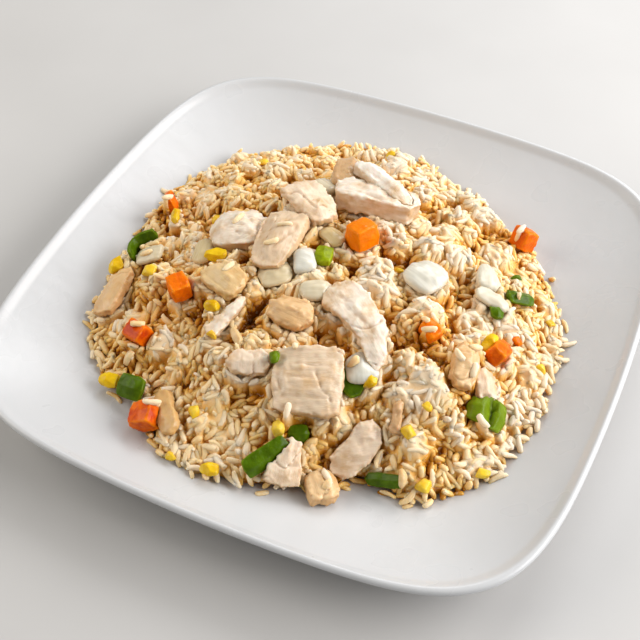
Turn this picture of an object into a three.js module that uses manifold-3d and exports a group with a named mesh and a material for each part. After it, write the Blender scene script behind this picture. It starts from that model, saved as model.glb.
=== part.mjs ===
// Chicken fried rice on a square coupe plate with round corners.
// Millimetres, +Z up. The origin is on the table, under the middle of the plate.
import * as THREE from 'three';
import { mergeVertices } from 'three/addons/utils/BufferGeometryUtils.js';
import Module from 'manifold-3d';

const wasm = await Module();
wasm.setup();

// ---- Driving dimensions ----

const PLATE_HALF = 130;          // middle of the plate to the middle of a side
const PLATE_HEIGHT = 25;
const WELL_Z = 5;                // upper face of the flat well
const WELL_SHARE = 0.58;         // the well's part of the way from the middle to the rim
const RISE_POWER = 1.7;          // how slowly the wall turns up out of the well
const PLATE_THICKNESS = 4.2;
const LIP_WIDTH = 3.2;
const LIP_PROFILE = [            // from outside in: inset as a part of LIP_WIDTH, drop from the top
  [0.25, 3], [0, 1.6], [0.3, 0.3], [0.6, 0], [1, 0.7],
];
const WALL_SHARES = [0.94, 0.87, 0.79, 0.71, 0.62];
const FOOT_SHARE = 0.6;          // foot ring, as a part of the way to the rim
const FOOT_WIDTH = 4.5;
const FOOT_BEVEL = 1.3;
const FOOT_RECESS = 1.4;         // how far the middle of the underside stands off the table
const RIM_SQUARENESS = 4.86;     // superellipse powers of the rim and of the middle
const WELL_SQUARENESS = 2.9;
const CORNER_CUT = 0.022;        // how much shorter the corners are than the superellipse's
const PLATE_SIDES = 52;
const CORNER_GATHER = 0.12;      // draws the plate's vertices towards its corners

const HEAP_PEAK_Z = 39;
const HEAP_EDGE = 2.5;           // one grain thick where the heap ends
const HEAP_RISE_POWER = 2.6;
const HEAP_CROWN_POWER = 0.9;
const HEAP_RINGS = 22;
const HEAP_SIDES = 6 * HEAP_RINGS;
const HEAP_UNDERSIDE = [[0.58, 33], [0.76, 66], [0.9, 66]];  // share of the reach, sides of the ring
const EDGE_UNEVENNESS = 2.6;     // how far the heap's edge wanders in and out
const EDGE_THICKNESS = 1.4;
const EDGE_UNDERCUT = 0.8;
const PLATE_CLEARANCE = 0.6;     // between the food and the plate's true surface
const GRAIN_LENGTH = 8;
const GRAIN_WIDTH = 2.6;
const GRAIN_BUMPS = 700;
const BUMP_LOW = 0.8;            // heights of the lowest and the highest bump
const BUMP_HIGH = 2.6;
const BUMP_HOLLOW = 1.2;         // how far the ground between the bumps lies under the mound
const SLOPE_STEP = 3;            // half the base over which the mound's slope is measured
const BIT_THICKNESS = 3.5;
const GAP = 0.3;                 // between pieces that lie against each other

// Reach of the heap from the middle of the plate, every 15 degrees from -X counterclockwise.
const HEAP_REACH = [
  103, 105, 110, 108, 101, 110, 107, 99, 93, 110, 112, 107,
  104, 104, 100, 101, 96, 100, 105, 109, 110, 111, 111, 107,
];

// Clumps and hollows of the heap: x, y, radius, height.
const HEAP_CLUMPS = [
  [61, -40, 12, 6], [62, -67, 9, 5], [46, -6, 9, 3], [28, -6, 8, 2.5], [40, 32, 12, 3],
  [68, -22, 8, 3], [-20, -80, 14, 3], [-40, -60, 11, 2], [-72, -45, 12, 3], [-60, 40, 15, 4],
  [-75, 62, 14, 4], [-30, 88, 12, 4], [8, 88, 14, 4], [38, 80, 11, 4], [88, 0, 9, 3],
  [92, -22, 9, 3], [85, -58, 9, 3], [0, -92, 12, 3], [80, 48, 10, 3], [-92, 8, 10, 2],
  [-8, 29, 9, -7], [31, -39, 5, -4], [-17, -36, 6, -3], [-52, 46, 8, -4], [42, 44, 7, -3],
  [-70, 4, 6, -3], [22, -78, 7, -5], [-58, 8, 5, -3], [90, 14, 6, -3], [-15, 56, 8, -3],
];

// ---- Small helpers ----

const radians = THREE.MathUtils.degToRad;
const UP = new THREE.Vector3(0, 0, 1);

// A repeatable stream of numbers from 0 to 1, by a linear congruence.
function randomStream(seed) {
  const modulus = 2 ** 32;
  let state = seed;
  return () => {
    state = (state * 1664525 + 1013904223) % modulus;
    return state / modulus;
  };
}

// A closed ring of points round the Z axis: `reachAt` and `zAt` give each one's place.
function ring(sides, angleAt, reachAt, zAt) {
  return Array.from({ length: sides }, (_, i) => {
    const angle = angleAt((2 * Math.PI * i) / sides);
    const reach = reachAt(angle, i);
    const x = reach * Math.cos(angle);
    const y = reach * Math.sin(angle);
    return new THREE.Vector3(x, y, zAt(x, y));
  });
}

// Joins rings of points, from the pole underneath to the pole on top, into one closed surface.
function skin(rings) {
  const positions = rings.flat().flatMap((point) => [point.x, point.y, point.z]);
  const index = [];
  let start = 0;
  for (let k = 0; k + 1 < rings.length; k += 1) {
    const lower = rings[k].length;
    const upper = rings[k + 1].length;
    const next = start + lower;
    let i = lower === 1 ? 1 : 0;
    let j = upper === 1 ? 1 : 0;
    while (i < lower || j < upper) {
      if (j >= upper || (i < lower && (i + 1) / lower <= (j + 1) / upper)) {
        index.push(start + i, start + ((i + 1) % lower), next + (j % upper));
        i += 1;
      } else {
        index.push(start + (i % lower), next + ((j + 1) % upper), next + j);
        j += 1;
      }
    }
    start = next;
  }
  const geometry = new THREE.BufferGeometry();
  geometry.setAttribute('position', new THREE.Float32BufferAttribute(positions, 3));
  geometry.setIndex(index);
  return geometry;
}

function withSharedVertices(geometry) {
  geometry.deleteAttribute('normal');
  geometry.deleteAttribute('uv');
  return mergeVertices(geometry, 1e-4);
}

function toSolid(geometry) {
  return new wasm.Manifold(new wasm.Mesh({
    numProp: 3,
    vertProperties: new Float32Array(geometry.attributes.position.array),
    triVerts: new Uint32Array(geometry.index.array),
  }));
}

function toGeometry(solid) {
  const mesh = solid.getMesh();
  const geometry = new THREE.BufferGeometry();
  geometry.setAttribute('position', new THREE.BufferAttribute(mesh.vertProperties, 3));
  geometry.setIndex(new THREE.BufferAttribute(mesh.triVerts, 1));
  return geometry;
}

// A cut can split a solid: its largest part is kept.
function largestPart(solid) {
  const parts = solid.decompose();
  parts.sort((a, b) => b.volume() - a.volume());
  return parts[0];
}

// ---- Plate ----

// The superellipse of a ring that lies at a share of the way to the rim, blown up to the rim's size.
function plateForm(share, angle) {
  const power = THREE.MathUtils.lerp(WELL_SQUARENESS, RIM_SQUARENESS, share * share);
  const across = Math.abs(Math.cos(angle)) ** power + Math.abs(Math.sin(angle)) ** power;
  const corner = 1 - CORNER_CUT * Math.sin(2 * angle) ** 2;
  return PLATE_HALF * corner * across ** (-1 / power);
}

function plateReach(share, angle) {
  return share * plateForm(share, angle);
}

function plateShare(x, y) {
  const angle = Math.atan2(y, x);
  let share = 0.5;
  for (let step = 0; step < 12; step += 1) {
    share = Math.hypot(x, y) / plateForm(share, angle);
  }
  return share;
}

function wallZ(share) {
  const climb = Math.max(0, (share - WELL_SHARE) / (1 - WELL_SHARE));
  return WELL_Z + (PLATE_HEIGHT - WELL_Z) * climb ** RISE_POWER;
}

function plateTopZ(x, y) {
  return wallZ(plateShare(x, y));
}

function plateRing(share, z) {
  return ring(
    PLATE_SIDES,
    (turn) => turn + CORNER_GATHER * Math.sin(4 * turn),
    (angle) => plateReach(share, angle),
    () => z,
  );
}

function makePlate() {
  const footInside = FOOT_SHARE - FOOT_WIDTH / PLATE_HALF;
  return skin([
    [new THREE.Vector3(0, 0, FOOT_RECESS)],
    plateRing(footInside - FOOT_BEVEL / PLATE_HALF, FOOT_RECESS),
    plateRing(footInside, 0),
    plateRing(FOOT_SHARE, 0),
    ...WALL_SHARES.toReversed().map((share) => plateRing(share, wallZ(share) - PLATE_THICKNESS)),
    ...LIP_PROFILE.map(([inset, drop]) => (
      plateRing(1 - (inset * LIP_WIDTH) / PLATE_HALF, PLATE_HEIGHT - drop)
    )),
    ...WALL_SHARES.map((share) => plateRing(share, wallZ(share))),
    [new THREE.Vector3(0, 0, WELL_Z)],
  ]);
}

// ---- Rice heap ----

function heapReach(angle) {
  const turn = ((THREE.MathUtils.radToDeg(angle) + 540) % 360) / 15;
  const before = Math.floor(turn) % HEAP_REACH.length;
  const after = (before + 1) % HEAP_REACH.length;
  const ease = (1 - Math.cos(Math.PI * (turn - Math.floor(turn)))) / 2;
  return THREE.MathUtils.lerp(HEAP_REACH[before], HEAP_REACH[after], ease);
}

// The smooth mound with its clumps, without the grains' relief.
function heapTopZ(x, y) {
  const share = Math.min(1, Math.hypot(x, y) / heapReach(Math.atan2(y, x)));
  const edgeZ = plateTopZ(x, y) + HEAP_EDGE;
  const crown = (1 - share ** HEAP_RISE_POWER) ** HEAP_CROWN_POWER;
  let z = edgeZ + (HEAP_PEAK_Z - edgeZ) * crown;
  for (const [clumpX, clumpY, radius, height] of HEAP_CLUMPS) {
    const away = Math.hypot(x - clumpX, y - clumpY) / radius;
    z += height * Math.exp(-away * away) * (1 - share ** 8);
  }
  return Math.max(z, edgeZ);
}

function heapNormal(x, y) {
  const slopeX = heapTopZ(x + SLOPE_STEP, y) - heapTopZ(x - SLOPE_STEP, y);
  const slopeY = heapTopZ(x, y + SLOPE_STEP) - heapTopZ(x, y - SLOPE_STEP);
  return new THREE.Vector3(-slopeX, -slopeY, 2 * SLOPE_STEP).normalize();
}

// Bumps of a grain's length and width, scattered over the mound.
function scatterBumps() {
  const random = randomStream(11);
  return Array.from({ length: GRAIN_BUMPS }, () => {
    const angle = 2 * Math.PI * random();
    const reach = heapReach(angle) * Math.sqrt(random());
    return {
      x: reach * Math.cos(angle),
      y: reach * Math.sin(angle),
      yaw: Math.PI * random(),
      height: THREE.MathUtils.lerp(BUMP_LOW, BUMP_HIGH, random()),
    };
  });
}

function bumpZ(bumps, x, y) {
  let z = 0;
  for (const bump of bumps) {
    const dx = x - bump.x;
    const dy = y - bump.y;
    const along = (dx * Math.cos(bump.yaw) + dy * Math.sin(bump.yaw)) / (0.55 * GRAIN_LENGTH);
    const across = (dy * Math.cos(bump.yaw) - dx * Math.sin(bump.yaw)) / (0.9 * GRAIN_WIDTH);
    const fall = 1 - along * along - across * across;
    if (fall > 0) {
      z = Math.max(z, bump.height * Math.sqrt(fall));
    }
  }
  return z;
}

function makeHeap() {
  const random = randomStream(5);
  const bumps = scatterBumps();
  const wander = Array.from({ length: HEAP_SIDES }, () => EDGE_UNEVENNESS * (random() - 0.5));
  const heapRing = (sides, reachAt, zAt) => ring(sides, (turn) => turn, reachAt, zAt);
  const onPlate = (x, y) => plateTopZ(x, y) + PLATE_CLEARANCE;
  const rings = [[new THREE.Vector3(0, 0, WELL_Z + PLATE_CLEARANCE)]];
  for (const [share, sides] of HEAP_UNDERSIDE) {
    rings.push(heapRing(sides, (angle) => share * heapReach(angle), onPlate));
  }
  rings.push(
    heapRing(HEAP_SIDES, (angle, i) => heapReach(angle) + wander[i] - EDGE_UNDERCUT, onPlate),
    heapRing(
      HEAP_SIDES,
      (angle, i) => heapReach(angle) + wander[i],
      (x, y) => onPlate(x, y) + EDGE_THICKNESS,
    ),
  );
  for (let k = HEAP_RINGS - 1; k > 0; k -= 1) {
    rings.push(heapRing(
      6 * k,
      (angle) => (k / HEAP_RINGS) * heapReach(angle),
      (x, y) => heapTopZ(x, y) - BUMP_HOLLOW + bumpZ(bumps, x, y),
    ));
  }
  rings.push([new THREE.Vector3(0, 0, heapTopZ(0, 0))]);
  return skin(rings);
}

// ---- Shapes of the pieces, each round its own middle with its length along X ----

// Moves a point of a straight strip onto the strip bent by the angle `turn`; `sharp` gathers the
// bend in the middle. Returns the new place along and across.
function bend(along, across, half, turn, sharp) {
  const steps = 10;
  const heading = (s) => (turn / 2) * (Math.tanh((sharp * s) / half) / Math.tanh(sharp));
  let x = 0;
  let y = 0;
  for (let k = 0; k < steps; k += 1) {
    const angle = heading((along * (k + 0.5)) / steps);
    x += (along / steps) * Math.cos(angle);
    y += (along / steps) * Math.sin(angle);
  }
  const angle = heading(along);
  return [x - across * Math.sin(angle), y + across * Math.cos(angle)];
}

// A flat piece: a slice of chicken, an onion leaf, a strip of pepper. `curl` bends its ends down,
// `sweep` bends it sideways, `cup` bends its long edges down, `taper` narrows its +X end.
function makeSlice(size, grow) {
  const {
    length, width, thickness,
    curl = 0, crease = 0.3, sweep = 0, cup = 0, taper = 0,
    squareness = 3.2, edge = 0.55, ragged = 0, phase = 0, columns = 4, rows = 2,
  } = size;
  const halfLength = length / 2 + grow;
  const halfWidth = width / 2 + grow;
  const halfThickness = thickness / 2 + grow;
  const geometry = withSharedVertices(new THREE.BoxGeometry(2, 2, 2, columns, rows, 1));
  const point = new THREE.Vector3();
  const position = geometry.attributes.position;
  for (let i = 0; i < position.count; i += 1) {
    point.fromBufferAttribute(position, i);
    const rim = Math.max(Math.abs(point.x), Math.abs(point.y));
    const spread = Math.abs(point.x) ** squareness + Math.abs(point.y) ** squareness;
    const round = rim === 0 ? 1 : rim / spread ** (1 / squareness);
    const around = Math.atan2(point.y, point.x);
    const tear = 1 + ragged * rim * (Math.sin(3 * around + phase) + Math.sin(7 * around + 2 * phase));
    const along = point.x * round * tear;
    const narrow = 1 - taper * (along + 1) / 2;
    let x = along * halfLength;
    let y = point.y * round * tear * narrow * halfWidth;
    let z = point.z * halfThickness * (1 - (1 - edge) * rim ** 4);
    [y, z] = bend(y, z, halfWidth, -radians(cup), 0.3);
    [x, z] = bend(x, z, halfLength, -radians(curl), crease);
    [x, y] = bend(x, y, halfLength, radians(sweep), 0.3);
    position.setXYZ(i, x, y, z);
  }
  return geometry;
}

// A cut cube of carrot with worn corners.
function makeDice(size, grow) {
  const { length, width, thickness, lean = 0, wear = 7 } = size;
  const geometry = withSharedVertices(new THREE.BoxGeometry(2, 2, 2, 2, 2, 2));
  const point = new THREE.Vector3();
  const position = geometry.attributes.position;
  for (let i = 0; i < position.count; i += 1) {
    point.fromBufferAttribute(position, i);
    const reach = Math.abs(point.x) ** wear + Math.abs(point.y) ** wear + Math.abs(point.z) ** wear;
    point.multiplyScalar(reach ** (-1 / wear) * 1.02);
    position.setXYZ(
      i,
      point.x * (length / 2 + grow) * (1 - lean * point.z),
      point.y * (width / 2 + grow) * (1 + 0.5 * lean * point.x),
      point.z * (thickness / 2 + grow),
    );
  }
  return geometry;
}

// A kernel of corn: a plump wedge, narrow at its -X end.
function makeKernel(size, grow) {
  const { length, width, thickness, tip = 0.45, sides = 7 } = size;
  const ball = new THREE.SphereGeometry(1, sides, Math.ceil(sides / 2));
  ball.rotateZ(Math.PI / 2);
  const geometry = withSharedVertices(ball);
  const position = geometry.attributes.position;
  for (let i = 0; i < position.count; i += 1) {
    const along = position.getX(i);
    const fat = 1 - tip * (1 - along) / 2;
    position.setXYZ(
      i,
      along * (length / 2 + grow),
      position.getY(i) * fat * (width / 2 + grow) * 1.08,
      position.getZ(i) * (0.5 + 0.5 * fat) * (thickness / 2 + grow) * 1.08,
    );
  }
  return geometry;
}

// ---- The pieces ----

const CHICKEN = { make: makeSlice, color: 0xe2cdb8, roughness: 0.55 };
const TAN = { make: makeSlice, color: 0xd9b98a, roughness: 0.55 };
const EGG = { make: makeSlice, color: 0xf0e2c0, roughness: 0.5 };
const ONION = { make: makeSlice, color: 0xe8e6da, roughness: 0.3 };
const PEPPER = { make: makeSlice, color: 0x2f7a1c, roughness: 0.3 };
const CARROT = { make: makeDice, color: 0xe8641b, roughness: 0.4 };
const CORN = { make: makeKernel, color: 0xf0c21c, roughness: 0.35 };

// name, kind, size, [x, y, height of its middle over the mound], [yaw, pitch, roll] in degrees.
// Pitch lifts the -X end and roll lifts the +Y side, both from the lie of the mound. A piece is
// cut clear of those above it in this list.
const PIECES = [
  ['pepper_strip', PEPPER,
    { length: 21, width: 9, thickness: 3, cup: 50, squareness: 7 },
    [13, -93, 5], [62, 0, 20]],
  ['corn_on_pepper', CORN, { length: 8, width: 7, thickness: 6 }, [13, -82, 5], [120, 0, 0]],
  ['chicken_back_edge', CHICKEN,
    { length: 40, width: 10, thickness: 8, curl: 14, taper: 0.2, squareness: 4 },
    [2, 49, 9], [-31, 0, 0]],
  ['chicken_back_front', CHICKEN,
    { length: 40, width: 15, thickness: 11, curl: 12, squareness: 5, edge: 0.8, columns: 5 },
    [2, 41, 5], [2, 0, -8]],
  ['chicken_back_top', CHICKEN,
    { length: 24, width: 15, thickness: 9, curl: 20, ragged: 0.03, phase: 1 },
    [-18, 56, 6], [105, 0, 0]],
  ['chicken_flap', CHICKEN,
    {
      length: 27, width: 20, thickness: 6,
      curl: 14, taper: 0.25, squareness: 6, ragged: 0.03, rows: 3, phase: 3,
    },
    [-22.5, 24.5, 7], [-33, 0, 0]],
  ['chicken_fold', CHICKEN,
    {
      length: 34, width: 22, thickness: 7,
      curl: 26, taper: 0.4, squareness: 5, ragged: 0.04, rows: 3, phase: 5,
    },
    [-26, -3, 6], [-84, 0, 0]],
  ['chicken_lobe', CHICKEN,
    { length: 25, width: 22, thickness: 10, curl: 30, cup: 20, squareness: 2.7, rows: 3 },
    [-46.5, -1, 4], [15, 0, 0]],
  ['chicken_curved', CHICKEN,
    { length: 48, width: 20, thickness: 6, curl: 40, sweep: -66, taper: 0.6, columns: 6 },
    [25.5, -27, 4], [-39, 0, 0]],
  ['chicken_slab', CHICKEN,
    {
      length: 28, width: 28, thickness: 8,
      curl: 12, squareness: 7, ragged: 0.02, phase: 5, columns: 5, rows: 3,
    },
    [16, -61, 5], [20, 0, 0]],
  ['chicken_oval', TAN,
    { length: 19, width: 14, thickness: 9, squareness: 2.3, curl: 20, cup: 20 },
    [-4, -35, 2], [-5, 0, 0]],
  ['chicken_torn', CHICKEN,
    { length: 18, width: 11, thickness: 6, squareness: 2.5, ragged: 0.07, phase: 6 },
    [-9, -63, 3], [20, 0, 0]],
  ['chicken_under_pepper', CHICKEN,
    { length: 20, width: 17, thickness: 8, taper: 0.55, squareness: 4 }, [20, -90, 3], [105, 0, 0]],
  ['chicken_right_slab', CHICKEN,
    { length: 28, width: 13, thickness: 7, sweep: 55, curl: 15, squareness: 2.6, ragged: 0.03 },
    [43, -73, 3], [75, 0, 0]],
  ['chicken_chunk', TAN,
    { length: 13, width: 12, thickness: 8, squareness: 5 }, [36, -91, 1], [-50, 0, 0]],
  ['chicken_curl', TAN,
    { length: 20, width: 11, thickness: 8, sweep: -80, squareness: 2.4 }, [70, -27, 3], [-70, 0, 0]],
  ['chicken_curl_white', CHICKEN,
    { length: 15, width: 9, thickness: 5, squareness: 2.5 }, [79, -27, 1], [-60, 0, 0]],
  ['chicken_left_edge', TAN,
    { length: 29, width: 14, thickness: 7, curl: 20, taper: 0.4, ragged: 0.06, phase: 7 },
    [-88, -42, 2], [92, 0, 0]],
  ['chicken_cream', EGG,
    { length: 19, width: 15, thickness: 7, sweep: 50, ragged: 0.05, phase: 8 },
    [-37, -30, 4], [-20, 0, 0]],
  ['chicken_strand', CHICKEN,
    { length: 24, width: 8, thickness: 4, taper: 0.6, ragged: 0.05 }, [-29, -45, 2], [72, 0, 0]],
  ['chicken_shred_left', EGG,
    { length: 22, width: 9, thickness: 5, ragged: 0.04, curl: 15 }, [-35, -89, 1], [-45, 0, 0]],
  ['chicken_wedge', CHICKEN,
    { length: 14, width: 6, thickness: 5, taper: 0.5 }, [53, -58, 1], [100, 0, 0]],
  ['carrot_top', CARROT, { length: 12, width: 11, thickness: 11 }, [6, 15, 5], [60, 0, -12]],
  ['carrot_left', CARROT, { length: 11, width: 9, thickness: 9 }, [-56, -38, 3], [-40, 0, -10]],
  ['carrot_chip', CARROT, { length: 4, width: 8, thickness: 10 }, [-93, 17, 3], [25, 0, 0]],
  ['carrot_left_low', CARROT, { length: 11, width: 9, thickness: 8 }, [-64, -61, 3], [-15, 0, 0]],
  ['carrot_front', CARROT,
    { length: 13, width: 11, thickness: 9.5, lean: 0.06 }, [-42, -93, 5], [10, 0, 0]],
  ['carrot_back_right', CARROT, { length: 10, width: 10, thickness: 10 }, [66, 67, 5], [50, 0, -15]],
  ['carrot_right', CARROT, { length: 11, width: 8, thickness: 8 }, [79, -10, 3], [70, 20, 0]],
  ['carrot_middle', CARROT, { length: 9, width: 7, thickness: 7 }, [51, -18, 2], [-30, 0, 0]],
  ['onion_block', ONION,
    { length: 13, width: 8.5, thickness: 5, squareness: 5 }, [-11, -8, 3], [-60, 0, 0]],
  ['onion_yellow', ONION,
    { length: 13, width: 8, thickness: 4, cup: 30 }, [-7, 12, 1.5], [-30, 0, 0]],
  ['onion_shell', ONION,
    { length: 15, width: 13, thickness: 4, curl: 40, cup: 50 }, [-20, -18, 2], [35, 0, 0]],
  ['onion_centre', ONION,
    { length: 12, width: 9, thickness: 4, cup: 40 }, [0, -20, 1.5], [25, 0, 0]],
  ['onion_large', ONION,
    { length: 17, width: 16, thickness: 5, curl: 35, cup: 35, squareness: 3 },
    [39, 8, 3], [-20, 0, 0]],
  ['onion_right_upper', ONION,
    { length: 15, width: 11, thickness: 5, taper: 0.5, cup: 30 }, [61, 25, 2], [115, 0, 0]],
  ['onion_right_lower', ONION,
    { length: 16, width: 8, thickness: 4, taper: 0.3, cup: 30 }, [67, 14, 2], [0, 0, 0]],
  ['onion_front', ONION,
    { length: 15, width: 13, thickness: 4, curl: 40, cup: 40 }, [32, -45, 3], [-60, 0, 0]],
  ['onion_left', ONION,
    { length: 13, width: 9, thickness: 3.5, cup: 20, squareness: 5 },
    [-83, -19, 2], [20, 0, 0]],
  ['onion_lobe', ONION,
    { length: 14, width: 8, thickness: 3.5, cup: 20 }, [-57, -15, 1.5], [105, 0, 0]],
  ['onion_back', ONION,
    { length: 12, width: 10, thickness: 4, cup: 30 }, [-25, 42, 2], [-30, 0, 0]],
  ['pepper_bent', PEPPER,
    { length: 22, width: 7, thickness: 3, curl: -95, crease: 3, squareness: 7, columns: 6 },
    [-94, -13, 4], [75, 0, 90]],
  ['pepper_lime', { ...PEPPER, color: 0x8fb820 },
    { length: 10, width: 8, thickness: 6, squareness: 4 }, [-5, -1, 2], [100, 0, 0]],
  ['pepper_right', PEPPER,
    { length: 14, width: 7, thickness: 4, cup: 60, squareness: 5 }, [77, 25, 2.5], [35, 0, 0]],
  ['pepper_right_small', PEPPER,
    { length: 9, width: 8, thickness: 4, taper: 0.3, cup: 40 }, [71, 10, 2], [-70, 0, 0]],
  ['pepper_left_low', PEPPER,
    { length: 13, width: 10, thickness: 4, cup: 40, squareness: 5 }, [-56, -82, 4], [0, 0, 0]],
  ['pepper_hollow', PEPPER,
    { length: 13, width: 10, thickness: 3, cup: -70, squareness: 4 }, [30, -52, 1], [-25, 0, 0]],
  ['pepper_by_corn', PEPPER,
    { length: 9, width: 7, thickness: 4, cup: 40 }, [19, -77, 2], [30, 0, 0]],
  ['pepper_sliver', PEPPER,
    { length: 18, width: 6, thickness: 3, cup: 40 }, [57, -78, 2], [12, 0, 0]],
  ['pepper_curved', PEPPER,
    { length: 20, width: 13, thickness: 4, curl: 110, cup: 20, crease: 1, squareness: 4, columns: 6 },
    [85, -37, 3.5], [5, 0, 0]],
  ['corn_left', CORN, { length: 11, width: 9, thickness: 7 }, [-96, -27, 4], [60, 0, 0]],
  ['corn_left_low', CORN, { length: 12, width: 9, thickness: 7 }, [-67, -81, 3], [10, 0, 0]],
  ['corn_by_lobe', CORN, { length: 12, width: 8, thickness: 6, tip: 0.2 }, [-49, -17, 3], [20, 0, 0]],
  ['corn_back_left', CORN, { length: 12, width: 6, thickness: 5 }, [-84, 7, 3], [110, 0, 0]],
  ['corn_strand', CORN, { length: 8, width: 6.5, thickness: 5, tip: 0.2 }, [-37, -43, 3], [20, 0, 0]],
  ['corn_front', CORN, { length: 9, width: 7, thickness: 6 }, [-6, -105, 2], [20, 0, 0]],
  ['corn_onion', CORN, { length: 8, width: 7, thickness: 5 }, [38, -50, 3], [60, 0, 0]],
  ['corn_right', CORN, { length: 12, width: 6, thickness: 6, tip: 0.2 }, [74, -8, 3], [75, 0, 0]],
];

// Slivers of corn and pepper and shreds of egg and carrot that are part of the heap: x, y, length,
// width, yaw.
const BITS = [
  [-66, 13, 6, 4, 60], [-30, -56, 5, 4, 0], [-23, -86, 8, 5, -50], [-24, -105, 5, 4, 0],
  [25, 9, 8, 4, -20], [-67, 62, 6, 5, 0], [-12, 93, 6, 5, 30], [83, 4, 7, 4, 10],
  [92, 26, 6, 4, 60], [96, -2, 7, 5, 30], [72, -75, 7, 6, 0], [91, -59, 7, 5, 20],
  [60, -62, 8, 6, -30], [63, -51, 5, 4, 0], [-74, -33, 8, 6, 10], [-21, -52, 12, 4, -45],
  [-64, -71, 9, 4, 70], [-46, -76, 8, 3, 30], [64, -77, 8, 4, -60], [-73, -21, 5, 3, 90],
  [71, 40, 7, 3, 30], [0, -59, 8, 5, 110],
];

// How far a piece has to rise to lie on the plate and not in it.
function riseOverPlate(geometry) {
  const position = geometry.attributes.position;
  let rise = 0;
  for (let i = 0; i < position.count; i += 1) {
    const floorZ = plateTopZ(position.getX(i), position.getY(i)) + PLATE_CLEARANCE;
    rise = Math.max(rise, floorZ - position.getZ(i));
  }
  return rise;
}

const pieceMeshes = [];
const cutters = [];

for (const [name, kind, size, [x, y, lift], [yaw, pitch, roll]] of PIECES) {
  const mesh = new THREE.Mesh(
    kind.make(size, 0),
    new THREE.MeshStandardMaterial({ color: kind.color, roughness: kind.roughness, metalness: 0 }),
  );
  const turned = new THREE.Euler(radians(roll), radians(pitch), radians(yaw), 'ZYX');
  mesh.name = name;
  mesh.position.set(x, y, heapTopZ(x, y) + lift);
  mesh.quaternion
    .setFromUnitVectors(UP, heapNormal(x, y))
    .multiply(new THREE.Quaternion().setFromEuler(turned));
  mesh.updateMatrixWorld();
  mesh.position.z += riseOverPlate(kind.make(size, 0).applyMatrix4(mesh.matrixWorld));
  mesh.updateMatrixWorld();
  const box = new THREE.Box3().setFromObject(mesh);
  let solid = toSolid(kind.make(size, 0).applyMatrix4(mesh.matrixWorld));
  for (const cutter of cutters.filter((other) => other.box.intersectsBox(box))) {
    solid = largestPart(solid.subtract(cutter.solid));
  }
  mesh.geometry = toGeometry(solid).applyMatrix4(mesh.matrixWorld.clone().invert());
  cutters.push({
    box: box.expandByScalar(GAP),
    solid: toSolid(kind.make(size, GAP).applyMatrix4(mesh.matrixWorld)),
  });
  pieceMeshes.push(mesh);
}

const plate = new THREE.Mesh(
  makePlate(),
  new THREE.MeshStandardMaterial({ color: 0xf2f4f5, roughness: 0.12, metalness: 0 }),
);
plate.name = 'plate';

let heapSolid = toSolid(makeHeap());
for (const [x, y, length, width, yaw] of BITS) {
  const bit = makeKernel({ length, width, thickness: BIT_THICKNESS, tip: 0.2, sides: 6 }, 0);
  bit.rotateZ(radians(yaw));
  bit.applyQuaternion(new THREE.Quaternion().setFromUnitVectors(UP, heapNormal(x, y)));
  bit.translate(x, y, heapTopZ(x, y));
  heapSolid = heapSolid.add(toSolid(bit));
}
for (const cutter of cutters) {
  heapSolid = heapSolid.subtract(cutter.solid);
}
const heap = new THREE.Mesh(
  toGeometry(largestPart(heapSolid)),
  new THREE.MeshStandardMaterial({ color: 0xdcb983, roughness: 0.55, metalness: 0 }),
);
heap.name = 'rice_heap';

const group = new THREE.Group();
group.add(plate, heap, ...pieceMeshes);

export default group;
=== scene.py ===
import itertools
import math

import bpy
import numpy as np
from mathutils import Matrix, Vector


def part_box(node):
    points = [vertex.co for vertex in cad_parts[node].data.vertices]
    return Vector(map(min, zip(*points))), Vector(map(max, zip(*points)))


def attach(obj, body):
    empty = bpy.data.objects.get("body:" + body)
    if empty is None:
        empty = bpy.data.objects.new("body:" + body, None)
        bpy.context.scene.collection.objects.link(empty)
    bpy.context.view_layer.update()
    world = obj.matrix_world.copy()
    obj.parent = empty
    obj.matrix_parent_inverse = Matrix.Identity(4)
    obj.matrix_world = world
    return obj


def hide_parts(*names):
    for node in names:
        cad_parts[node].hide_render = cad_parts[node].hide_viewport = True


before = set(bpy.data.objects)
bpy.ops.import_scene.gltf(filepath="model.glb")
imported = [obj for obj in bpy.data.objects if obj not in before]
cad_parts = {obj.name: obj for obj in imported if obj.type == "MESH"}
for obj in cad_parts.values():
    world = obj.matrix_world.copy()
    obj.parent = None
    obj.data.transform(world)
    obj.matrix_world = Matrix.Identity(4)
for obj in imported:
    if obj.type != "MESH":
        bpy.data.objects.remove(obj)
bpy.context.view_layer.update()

MM = 0.001
rng = np.random.default_rng(7)

# ---- Plate ----

PLATE_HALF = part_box("plate")[1].x / MM
PLATE_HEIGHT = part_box("plate")[1].z / MM
WELL_Z = 5  # upper face of the flat well
WELL_SHARE = 0.58  # the well's part of the way from the middle to the rim
RISE_POWER = 1.7  # how slowly the wall turns up out of the well
PLATE_THICKNESS = 4.2
RIM_SQUARENESS = 4.86  # superellipse powers of the rim and of the middle
WELL_SQUARENESS = 2.9
CORNER_CUT = 0.022  # how much shorter the corners are than the superellipse's
CORNER_GATHER = 0.12  # draws the plate's vertices towards its corners
PLATE_SIDES = 288
LIP_RADIUS = 1.6  # of the rim's rounded edge
LIP_RISE = 1.15  # of the bead over the wall's own line
LIP_FADE = (2.0, 5.5)  # how far in from the rim the bead runs out into the wall
FOOT_SHARE = 0.6  # outside of the foot ring
FOOT_WIDTH = 4.5
FOOT_BEVEL = 1.3
FOOT_RECESS = 1.4  # how far the middle of the underside stands off the table
LEAST_LIFT = 0.25  # of the underside outside the foot
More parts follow.
